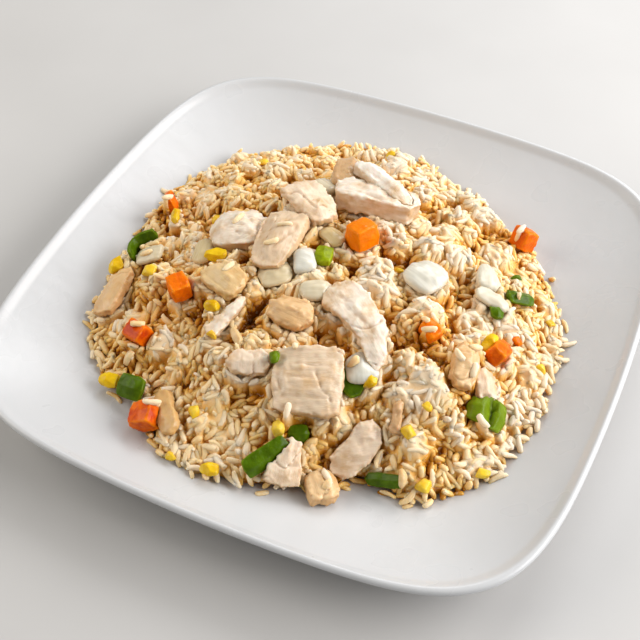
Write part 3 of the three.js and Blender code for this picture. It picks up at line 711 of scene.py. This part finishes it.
def make_topping(node, materials, seed):
    kind, _, bit = node.partition("_")
    slot = SLOTS.get(node, kind)
    voxel, rounds, swollen, lumps, fibres, torn, cracks = FORMS[kind]
    yaw, tone = LOOKS[kind].get(bit, (0, 0))
    mesh = even_mesh(node, voxel, rounds)
    points = positions(mesh)
    middle = points.mean(0)
    if kind == "corn":
        points = middle + faceted(points - middle)
    own = own_axes(points, yaw, middle)
    edge = np.clip(convexity(mesh, 8) / 0.5, 0, 1)
    swell = noise(own * LUMP_PITCH, seed) + 0.4 * noise(own * 0.4, seed + 4)
    ridges = 1 - 2 * np.abs(noise(own * FIBRE_PITCH, seed + 1))
    tears = noise(own * TEAR_PITCH, seed + 2) + 0.6 * noise(own * 0.95, seed + 3)
    line = np.abs(noise(own * CRACK_PITCH, seed + 5))
    furrows = np.clip(1 - line / CRACK_WIDTH, 0, 1) * (noise(own * 0.07, seed + 6) > 0)
    depth = lumps * swell + fibres * ridges + torn * edge * tears
    depth += swollen - cracks * furrows - 0.25 * lumps
    points += normals(mesh) * depth[:, None]
    up = np.clip(normals(mesh)[:, 2], 0, 1)
    for *crease, drop in CREASES.get(node, []):
        points[:, 2] -= up * drop * along_line(points, *crease)
    set_positions(mesh, points)
    mesh.update()
    mesh.shade_smooth()
    # painted shade: hollow marks the concave places and side the faces that turn away from the top,
    # for the materials to darken
    hollow = np.clip(-convexity(mesh, 6) / 0.6, 0, 1) * 0.8
    side = np.clip(0.75 - normals(mesh)[:, 2], 0, 1)
    set_attributes(mesh, own=own + 40 * seed, tone=tone, edge=edge, side=side, hollow=hollow)
    return add_piece(node + "_cooked", mesh, node, materials[slot])


# Slots of the toppings that don't take their kind's.
SLOTS = {
    "chicken_oval": "chicken_tan", "chicken_chunk": "chicken_tan", "chicken_curl": "chicken_tan",
    "chicken_left_edge": "chicken_tan", "chicken_cream": "egg", "chicken_shred_left": "egg",
    "pepper_lime": "pepper_lime",
}
# Tones of each meat from 0 to 1, its stain colour, which also paints shade on its sides, and the
# painted shade deep in its creases.
MEATS = {
    "chicken": (
        [(0.85, 0.78, 0.68), (0.80, 0.695, 0.57), (0.76, 0.605, 0.45), (0.70, 0.55, 0.39),
         (0.54, 0.33, 0.16)],
        (0.62, 0.40, 0.20), (0.38, 0.17, 0.05),
    ),
    "chicken_tan": (
        [(0.72, 0.50, 0.27), (0.60, 0.34, 0.13)], (0.60, 0.34, 0.13), (0.34, 0.13, 0.02),
    ),
    "egg": ([(0.76, 0.58, 0.32), (0.58, 0.34, 0.12)], (0.60, 0.35, 0.12), (0.38, 0.16, 0.03)),
}


def make_materials():
    return {
        "rice": rice("rice", 0.8),
        "rice_stuck": rice("rice_stuck", 0.0),
        **{name: meat(name, *colors) for name, colors in MEATS.items()},
        "onion": onion(),
        "pepper": pepper("pepper", (0.085, 0.16, 0.002), (0.30, 0.40, 0.015)),
        "pepper_lime": pepper("pepper_lime", (0.30, 0.38, 0.006), (0.45, 0.50, 0.03)),
        "carrot": carrot(),
        "corn": corn(),
    }


def make_toppings(materials):
    nodes = [node for node in sorted(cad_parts) if node.split("_")[0] in FORMS]
    return [make_topping(node, materials, seed) for seed, node in enumerate(nodes, 1)]


# ---- Height maps that the grains are laid on ----

CELLS = int(2 * MAP_HALF / CELL)
MAP_LINE = (np.arange(CELLS) + 0.5) * CELL - MAP_HALF
MAP_X, MAP_Y = np.meshgrid(MAP_LINE, MAP_LINE, indexing="ij")
SPOT = 2 * CELL  # of the map of the toppings
SPOTS = int(2 * MAP_HALF / SPOT)


def flat_noise(x, y, pitch, seed):
    spot = np.stack([x.ravel(), y.ravel(), 0 * x.ravel()], -1)
    return noise(spot * pitch, seed).reshape(x.shape)


def cells_round(x, y, span):
    """The square of cells that reaches so many cells from a place."""
    i, j = int((x + MAP_HALF) / CELL), int((y + MAP_HALF) / CELL)
    return np.s_[max(0, i - span):i + span, max(0, j - span):j + span]


def domes():
    """The heap's own surface: round clumps side by side, with valleys between them."""
    plain = heap_top(MAP_X, MAP_Y)
    surface = plain - VALLEY * (1 - np.minimum(1, heap_share(MAP_X, MAP_Y)) ** 5)
    rows = []
    for _ in range(DOMES):
        angle, share = rng.uniform(-math.pi, math.pi), 0.95 * math.sqrt(rng.uniform(0, 1))
        reach = share * heap_reach(np.array([angle]))[0]
        radius = rng.uniform(*DOME_RADIUS) * (1 - 0.45 * share ** 6)
        stands = rng.normal(*DOME_STANDS) * (1 - share ** 6)
        rows.append((reach * math.cos(angle), reach * math.sin(angle), radius, stands))
    for x, y, radius, stands in rows + SKYLINE_DOMES:
        window = cells_round(x, y, int(radius / CELL) + 1)
        away = np.hypot(MAP_X[window] - x, MAP_Y[window] - y) / radius
        cap = 0.95 * radius * (1 - np.sqrt(np.maximum(0, 1 - away ** 2)))
        dome = plain[window] + stands - cap
        surface[window] = np.where(away < 1, np.maximum(surface[window], dome), surface[window])
    return blurred(surface, 1)


def topping_maps(pieces):
    """The toppings' lowest and highest points over each cell of the map."""
    low = np.full((SPOTS, SPOTS), 1e3)
    high = np.full((SPOTS, SPOTS), -1e3)
    for piece in pieces:
        points = positions(piece.data)
        spot = np.floor((points[:, :2] + MAP_HALF) / SPOT).astype(int)
        np.minimum.at(low, (spot[:, 0], spot[:, 1]), points[:, 2])
        np.maximum.at(high, (spot[:, 0], spot[:, 1]), points[:, 2])
    fine = int(SPOT / CELL)
    return [field.repeat(fine, 0).repeat(fine, 1) for field in (low, high)]


def blurred(field, radius):
    """A map averaged over a square, twice over."""
    size = 2 * radius + 1
    for _ in range(2):
        for axis in (0, 1):
            pads = [(radius + 1, radius) if a == axis else (0, 0) for a in (0, 1)]
            total = np.cumsum(np.pad(field, pads, "edge"), axis)
            ends = np.take(total, range(size, total.shape[axis]), axis)
            field = (ends - np.take(total, range(total.shape[axis] - size), axis)) / size
    return field


def sampled(field, x, y):
    """A map's value between its cells."""
    i = np.clip((x + MAP_HALF) / CELL - 0.5, 0, CELLS - 2)
    j = np.clip((y + MAP_HALF) / CELL - 0.5, 0, CELLS - 2)
    a, b = i.astype(int), j.astype(int)
    u, v = i - a, j - b
    return (
        field[a, b] * (1 - u) * (1 - v) + field[a + 1, b] * u * (1 - v)
        + field[a, b + 1] * (1 - u) * v + field[a + 1, b + 1] * u * v
    )


def lift(field, cells):
    """A map's highest value within so many cells."""
    for _ in range(cells):
        moved = [np.roll(field, step, axis) for axis in (0, 1) for step in (1, -1)]
        field = np.maximum.reduce([field, *moved])
    return field


class StainAndShade:
    """How amber the rice is at a point: painted shade under the tops of the grains and clumps,
    painted light that pales it towards +X and +Y, and a real stain in patches. The meshes keep it
    from 0 to 1.
    """

    def __init__(self, bed):
        self.near = blurred(lift(bed.top, 2), 1)
        self.far = blurred(lift(bed.top, 8), 8)

    def at(self, points):
        x, y, z = points.T
        amount = 0
        # painted shade: amber deepens with the depth under the grains' tops and under the clumps'
        # tops
        for field, (start, over, share) in ((self.near, NEAR_SHADE), (self.far, FAR_SHADE)):
            amount = amount + share * np.clip((sampled(field, x, y) - z - start) / over, 0, 1)
        patches = flat_noise(x, y, 0.06, 21) + 0.6 * flat_noise(x, y, 0.17, 22)
        # painted light: the rice pales a little towards +X and +Y, the side the key light shines
        # from
        amount = amount + STAIN_PATCHES * (1 - patches) - 0.0007 * (x + 0.2 * y)
        return amount - 0.06 * stickiness(x, y)


# ---- Grains ----


class Bed:
    """The growing surface of the heap. Pressed grains shape it, and loose ones are laid on it."""

    def __init__(self, toppings):
        self.low, self.high = topping_maps(toppings)
        self.floor = plate_top(MAP_X, MAP_Y)
        self.inside = heap_share(MAP_X, MAP_Y) < CORE_REACH
        clumps = domes()
        self.mound = np.maximum(clumps, self.banks())
        under = self.low - TOPPING_GAP
        self.target = np.minimum(self.mound, under)
        start = np.maximum(np.minimum(clumps, under) - CORE_START, self.floor + 0.9)
        self.top = np.where(self.inside, start, self.floor)
        self.owner = np.full((CELLS, CELLS), -1)
        self.laid = []

    def banks(self):
        """Rice that climbs the sides of the toppings."""
        near = lift(self.high, BANK_CELLS)
        bank = np.minimum(blurred(near, 2) - BANK_DROP, heap_top(MAP_X, MAP_Y) + BANK_HEIGHT)
        return np.where(self.inside, bank, 0)

    def cells(self, x, y):
        return tuple(
            np.clip(((line + MAP_HALF) / CELL).astype(int), 0, CELLS - 1) for line in (x, y)
        )

    def low_places(self, short, count):
        """Random places inside the heap whose surface lies at least `short` under the target."""
        low = np.flatnonzero(self.inside & (self.target - self.top > short))
        if len(low) == 0:
            return []
        i, j = np.unravel_index(rng.choice(low, count), self.top.shape)
        return list(zip(MAP_LINE[i], MAP_LINE[j]))

    def rest(self, x, y, yaw, length, on_topping=False):
        """Height and slope at which a straight grain comes to rest, and the line under it."""
        along = REST_STATIONS * length / 2
        xs = x + along * math.cos(yaw)
        ys = y + along * math.sin(yaw)
        cell = self.cells(xs, ys)
        support = self.top[cell]
        if on_topping:
            support = np.maximum(support, self.high[cell])
        best, slope = support[2], (support[4] - support[0]) / (along[4] - along[0])
        for i in (0, 1):
            for j in (3, 4):
                lean = (support[j] - support[i]) / (along[j] - along[i])
                middle = support[i] - lean * along[i]
                if middle > best:
                    best, slope = middle, lean
        return best, slope, cell, along

    def press(self, x, y, stop):
        """Stamps a grain half into the surface, where it isn't seen as a grain of its own."""
        yaw = rng.uniform(0, math.pi)
        size = draw_size(draw_kind())
        z, slope, cell, along = self.rest(x, y, yaw, size[0])
        top = z + slope * along + 0.5 * size[2]
        if np.all(top < self.target[cell] - stop):
            self.stamp(x, y, z, yaw, slope + rng.normal(0, PRESSED_TILT), size, -1)

    def lay(self, x, y, yaw, size, slack, on_topping=False):
        """Lays one loose grain there, if it fits."""
        thickness = size[2]
        z, slope, cell, along = self.rest(x, y, yaw, size[0], on_topping)
        z += thickness * (0.5 - NEST)
        slope = min(STEEPEST, max(-STEEPEST, slope))
        line = z + slope * along
        if not on_topping:
            if np.any((line + thickness / 2 - self.mound[cell])[1:4] > slack):
                return
            under = self.low[cell] > line + thickness / 2
            over = self.high[cell] < line - thickness / 2
            over_topping = (self.high[cell] > 0) & ~under
            if over_topping[1:4].any() or (over_topping & ~over).any():
                return
        if rng.uniform() < TIPPED_SHARE:
            slope += rng.normal(0, TIPPED_BY)
        self.stamp(x, y, z, yaw, slope, size, len(self.laid))
        self.laid.append((x, y, z, yaw, slope, *size))

    def stamp(self, x, y, z, yaw, slope, size, number):
        length, width, thickness = size[:3]
        window = cells_round(x, y, int(length / 2 / CELL) + 2)
        dx = MAP_X[window] - x
        dy = MAP_Y[window] - y
        along = (dx * math.cos(yaw) + dy * math.sin(yaw)) * math.sqrt(1 + slope * slope)
        across = dy * math.cos(yaw) - dx * math.sin(yaw)
        body = 1 - (2 * along / length) ** 4 - (2 * across / width) ** 2
        surface = z + slope * along + thickness / 2 * np.sqrt(np.maximum(body, 0))
        higher = (body > 0) & (surface > self.top[window])
        self.top[window] = np.where(higher, surface, self.top[window])
        self.owner[window] = np.where(higher, number, self.owner[window])


def draw_kind():
    return rng.choice(list(GRAIN_KINDS), p=[kind[0] for kind in GRAIN_KINDS.values()])


def draw_size(kind):
    """Length, width, thickness, bend and kind of one grain."""
    length, width, thickness, bend = GRAIN_KINDS[kind][1:]
    return (
        length * rng.normal(1, 0.1), width * rng.normal(1, 0.1), thickness * rng.normal(1, 0.08),
        bend * rng.normal(1, 0.4), list(GRAIN_KINDS).index(kind),
    )


def press_grains(bed):
    """Packs the heap up to a little under its target, deeper in some places than in others."""
    for _ in range(PRESSED_TRIES // BATCH):
        for x, y in bed.low_places(PRESSED_DEPTH[0], BATCH):
            bed.press(x, y, rng.uniform(*PRESSED_DEPTH))


def lay_grains(bed):
    """Bundles of near-parallel grains, each laid where the heap is still low."""
    while len(bed.laid) < GRAINS:
        places = bed.low_places(0.3, BATCH)
        before = len(bed.laid)
        for x, y in places:
            yaw = rng.uniform(0, 2 * math.pi)
            slack = rng.choice(list(SLACKS), p=list(SLACKS.values()))
            for step in range(rng.integers(*BUNDLE)):
                shift = rng.uniform(-BUNDLE_SHIFT, BUNDLE_SHIFT)
                side = step * BUNDLE_PITCH * rng.normal(1, 0.2)
                bed.lay(
                    x + shift * math.cos(yaw) - side * math.sin(yaw),
                    y + shift * math.sin(yaw) + side * math.cos(yaw),
                    yaw + rng.normal(0, BUNDLE_TURN), draw_size(draw_kind()), slack,
                )
        if len(bed.laid) < before + 3:
            break
    for angle in rng.uniform(-math.pi, math.pi, EDGE_GRAINS):
        reach = heap_reach(np.array([angle]))[0] + rng.uniform(*EDGE_BAND)
        bed.lay(
            reach * math.cos(angle), reach * math.sin(angle), rng.uniform(0, math.pi),
            draw_size(draw_kind()), 2,
        )
    for x, y, yaw in GRAINS_ON_TOPPINGS:
        bed.lay(x, y, math.radians(yaw), draw_size("rice_plump"), 9, on_topping=True)


def disc_faces(rings):
    """Triangles between rings of 6, 12, 18 and more points round the first point."""
    faces = []
    start, count = 0, 1
    for k in range(1, rings + 1):
        outer, more = start + count, 6 * k
        i = j = 0
        while i < (count if count > 1 else 0) or j < more:
            inner_next = (i + 1) / count if count > 1 else 2
            if j >= more or inner_next <= (j + 1) / more:
                faces.append((start + i, outer + j % more, start + (i + 1) % count))
                i += 1
            else:
                faces.append((start + i % count, outer + j, outer + (j + 1) % more))
                j += 1
        start, count = outer, more
    return np.array(faces)


def core_disc(rings, rim=1):
    """X and Y of such points, with the last ring drawn in to a share of the core's reach."""
    turn = np.concatenate([np.zeros(1), *(turns(6 * k) for k in range(1, rings + 1))])
    share = np.repeat(np.arange(rings + 1) / rings, [1, *range(6, 6 * rings + 1, 6)])
    reach = np.minimum(share, rim) * CORE_REACH * heap_reach(turn)
    return reach * np.cos(turn), reach * np.sin(turn)


def make_core(bed, packed, stain, material):
    """The stuck rice between the loose grains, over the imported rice, closed by an underside."""
    x, y = core_disc(CORE_RINGS)
    on_top, broad, narrow, deeper = PASTE_DEPTH
    down = sampled(stain.far - blurred(bed.top, 3), x, y)
    paste = on_top + broad * flat_noise(x, y, 0.09, 41) + narrow * flat_noise(x, y, 0.25, 42)
    paste = np.clip(paste + deeper * (down - 1), *PASTE_RANGE)
    loose = sampled((blurred(bed.top, 1) + bed.top) / 2, x, y) - paste
    lumpy = sampled(blurred(bed.top, 2), x, y) + STICKY_RISE
    stuck = loose + (lumpy - loose) * stickiness(x, y)
    z = np.maximum(sampled(blurred(packed, 1), x, y), stuck)
    sides, low_sides = 6 * CORE_RINGS, 6 * UNDER_RINGS
    z[-sides:] = plate_top(x[-sides:], y[-sides:]) + CORE_RIM
    low_x, low_y = core_disc(UNDER_RINGS, 1 - 0.5 / UNDER_RINGS)
    low_z = plate_top(low_x, low_y) + CORE_UNDER
    points = np.concatenate([np.stack([x, y, z], -1), np.stack([low_x, low_y, low_z], -1)])
    around = np.arange(sides)
    rim = len(x) - sides + np.stack([(around + 1) % sides, around])
    low_rim = len(points) - low_sides
    near = low_rim + around * low_sides // sides
    after = low_rim + (around + 1) * low_sides // sides % low_sides
    faces = np.concatenate([
        disc_faces(CORE_RINGS),
        disc_faces(UNDER_RINGS)[:, ::-1] + len(x),
        np.stack([*rim, near], -1),
        np.stack([rim[0], near, after], -1)[near != after],
    ])
    mesh = make_mesh("rice_core", points, np.zeros((0, 4), int), faces)
    # the stuck rice takes the stain and painted shade of the rice at its place, with more painted
    # shade as it lies between the grains
    set_attributes(mesh, own=points, stain=np.clip(stain.at(points) + STUCK_SHADE, 0, 1))
    add_piece("rice_core", mesh, "rice_heap", material)


def grain_mesh(name, grains, stain):
    """All the grains of one kind as one mesh of many small closed bodies."""
    x, y, z, yaw, slope = grains.T[:5]
    length, width, thickness, bend = (values[:, None, None] for values in grains.T[5:9])
    count = len(grains)
    lean = np.arctan(slope)
    ahead = np.stack([np.cos(yaw) * np.cos(lean), np.sin(yaw) * np.cos(lean), np.sin(lean)], -1)
    side = np.stack([-np.sin(yaw), np.cos(yaw), 0 * yaw], -1)
    up = np.cross(ahead, side)
    roll = rng.uniform(-GRAIN_ROLL, GRAIN_ROLL, count)[:, None]
    side, up = side * np.cos(roll) + up * np.sin(roll), up * np.cos(roll) - side * np.sin(roll)
    rings, turn = GRAIN_RINGS, turns(GRAIN_SIDES)

    def each(reach):
        return rng.uniform(*reach, count)[:, None, None]

    fat = (1 - np.abs(rings) ** 4) ** 0.45 * (1 + 0.07 * np.sin(3 * rings + each((0, 6))))
    groove = 1 - 0.16 * np.exp(-(np.sin((turn - each((0, 6))) / 2) / 0.3) ** 2)
    skew = 1 + each((-0.14, 0.14)) * rings
    arc = bend * length * (rings ** 2 - 0.35)
    along = length / 2 * rings + 0 * turn
    across = width / 2 * fat * groove * skew * np.cos(turn) + arc
    raised = thickness / 2 * fat * groove * np.sin(turn)
    tips = [
        np.stack([end * length / 2, bend * length * 0.65, 0 * length], -1)[:, 0]
        for end in (-1, 1)
    ]
    body = np.stack([along, across, raised], -1).reshape(count, -1, 3)
    local = np.concatenate([body, *tips], 1)
    axes = np.stack([ahead, side, up], 1)
    points = np.einsum("nvk,nkj->nvj", local, axes) + np.stack([x, y, z], -1)[:, None]
    flat = points.reshape(-1, 3)
    dents = np.stack([noise(flat * 0.55, seed) for seed in (31, 32, 33)], -1)
    points = points + GRAIN_DENTS * dents.reshape(points.shape)
    mesh = bodies_mesh(name, points, GRAIN_SIDES)
    # each grain's colour: a real stain that differs from grain to grain, over the painted shade
    # under the tops
    spread = STAIN_SPREAD * np.repeat(rng.normal(size=count), points.shape[1])
    amount = stain.at(points.reshape(-1, 3)) + spread
    own = (local + rng.uniform(0, 400, (count, 1, 3))).reshape(-1, 3)
    set_attributes(mesh, own=own, stain=np.clip(amount, 0, 1))
    return mesh


def make_grains(bed, stain, material):
    shown = np.bincount(bed.owner[bed.owner >= 0], minlength=len(bed.laid)) >= SHOWN_CELLS
    grains = np.array(bed.laid)[shown]
    for number, name in enumerate(GRAIN_KINDS):
        mesh = grain_mesh(name, grains[grains[:, 9] == number], stain)
        add_piece(name, mesh, "rice_heap", material)


# ---- Slivers and shreds among the rice ----

# x, y, length, width, yaw of each, by what it is.
BITS = {
    "corn": [
        (-66, 13, 6, 4, 60), (-30, -56, 5, 4, 0), (-23, -86, 8, 5, -50), (-24, -105, 5, 4, 0),
        (25, 9, 8, 4, -20), (-67, 62, 6, 5, 0), (-12, 93, 6, 5, 30), (92, 26, 6, 4, 60),
        (96, -2, 7, 5, 30), (72, -75, 7, 6, 0), (91, -59, 7, 5, 20), (60, -62, 8, 6, -30),
        (63, -51, 5, 4, 0), (-74, -33, 8, 6, 10),
    ],
    "carrot": [(83, 4, 7, 4, 10)],
    "egg": [
        (-21, -52, 12, 4, -45), (-64, -71, 9, 4, 70), (-46, -76, 8, 3, 30), (64, -77, 8, 4, -60),
    ],
    "pepper": [(-73, -21, 5, 3, 90), (71, 40, 7, 3, 30), (0, -59, 8, 5, 110)],
}
BIT_SIDES = 16
BIT_RINGS = np.array([-0.97, -0.82, -0.55, -0.2, 0.2, 0.55, 0.82, 0.97])[:, None]
BIT_FLATNESS = 0.7  # thickness to width
BIT_SAG = 0.15  # how far the ends hang down, as a part of the length


def bit_points(bed, x, y, length, width, yaw):
    """One sliver, laid on the rice."""
    turn = math.radians(yaw)
    rest, slope, *_ = bed.rest(x, y, turn, length, on_topping=True)
    thickness = BIT_FLATNESS * width
    angle = turns(BIT_SIDES)
    fat = (1 - np.abs(BIT_RINGS) ** 3) ** 0.45
    along = length / 2 * BIT_RINGS + 0 * angle
    across = width / 2 * fat * np.cos(angle)
    raised = thickness / 2 * fat * np.sin(angle) - BIT_SAG * length * BIT_RINGS ** 2
    tips = [(end * length / 2, 0, -BIT_SAG * length) for end in (-1, 1)]
    body = np.concatenate([np.stack([along, across, raised], -1).reshape(-1, 3), tips])
    body *= 1 + 0.12 * noise(body * 0.45, int(abs(x)))[:, None]
    body = faceted(body)
    spin = Matrix.Rotation(turn, 3, "Z") @ Matrix.Rotation(-math.atan(slope), 3, "Y")
    spin = spin @ Matrix.Rotation(rng.uniform(-0.5, 0.5), 3, "X")
    return body @ np.array(spin).T + (x, y, rest + 0.2 * thickness)


def make_bits(bed, materials):
    for kind, rows in BITS.items():
        bodies = np.stack([bit_points(bed, *row) for row in rows])
        name = "bits_" + kind
        mesh = bodies_mesh(name, bodies, BIT_SIDES)
        edge = np.clip(convexity(mesh, 3) / 0.8, 0, 0.6)
        set_attributes(mesh, own=bodies.reshape(-1, 3), tone=0.1, edge=edge, hollow=0, side=0)
        add_piece(name, mesh, "rice_heap", materials[kind])


# ---- Camera, light and floor ----

CAMERA_AT = (134.27, -304.68, 384.55)
CAMERA_AZIMUTH = 24.908  # from the plate's front towards +X
CAMERA_ELEVATION = 49.110
SENSOR = 36
CAMERA_LENS = 1113.28 * SENSOR / 640  # the focal length in pixels of a 640-pixel frame
FLOOR_HALF = 1500
LIGHT_TARGET = (0, 0, 20)
LIGHT_DISTANCE = 950
# Soft panels that face the plate: azimuth from +X, elevation, size, power, colour.
LIGHTS = {
    "key": (22, 30, (1000, 600), 14.5, (1, 0.985, 0.975)),
    "back": (88, 40, (500, 450), 3.8, (0.97, 0.985, 1)),
    "fill": (200, 33, (700, 600), 5.4, (1, 0.94, 0.85)),
}
SKY_COLOR = (0.95, 0.98, 1, 1)
SKY_STRENGTH = 0.24


def toward(azimuth, elevation):
    """The direction so many degrees counterclockwise from +X and up."""
    azimuth, elevation = math.radians(azimuth), math.radians(elevation)
    flat = math.cos(elevation)
    return Vector((math.cos(azimuth) * flat, math.sin(azimuth) * flat, math.sin(elevation)))


def make_camera():
    camera = bpy.data.cameras.new("camera")
    camera.lens = CAMERA_LENS
    camera.sensor_width = SENSOR
    camera.clip_start = 0.01
    back = toward(CAMERA_AZIMUTH - 90, CAMERA_ELEVATION)
    right = toward(CAMERA_AZIMUTH, 0)
    turn = Matrix((right, back.cross(right), back)).transposed()
    eye = link("camera", camera)
    eye.matrix_world = Matrix.Translation(Vector(CAMERA_AT) * MM) @ turn.to_4x4()
    bpy.context.scene.camera = eye


def make_light(name, azimuth, elevation, size, power, color):
    away = toward(azimuth, elevation)
    lamp = bpy.data.lights.new(name, "AREA")
    lamp.shape = "RECTANGLE"
    lamp.size, lamp.size_y = (side * MM for side in size)
    lamp.energy = power
    lamp.color = color
    holder = link(name, lamp)
    holder.location = (Vector(LIGHT_TARGET) + away * LIGHT_DISTANCE) * MM
    holder.rotation_euler = away.to_track_quat("Z", "Y").to_euler()


def make_surroundings():
    half = FLOOR_HALF
    corners = [(-half, -half, 0), (half, -half, 0), (half, half, 0), (-half, half, 0)]
    floor = link("floor", make_mesh("floor", corners, [(0, 1, 2, 3)], np.zeros((0, 3), int)))
    floor.data.materials.append(table_top())
    world = bpy.data.worlds.new("studio")
    world.use_nodes = True
    background = world.node_tree.nodes["Background"]
    background.inputs["Color"].default_value = SKY_COLOR
    background.inputs["Strength"].default_value = SKY_STRENGTH
    bpy.context.scene.world = world
    for name, settings in LIGHTS.items():
        make_light(name, *settings)
    bpy.context.scene.view_settings.view_transform = "Standard"


make_camera()
make_surroundings()
make_plate()
materials = make_materials()
toppings = make_toppings(materials)
bed = Bed(toppings)
press_grains(bed)
packed = bed.top.copy()
lay_grains(bed)
stain = StainAndShade(bed)
make_core(bed, packed, stain, materials["rice_stuck"])
make_grains(bed, stain, materials["rice"])
make_bits(bed, materials)
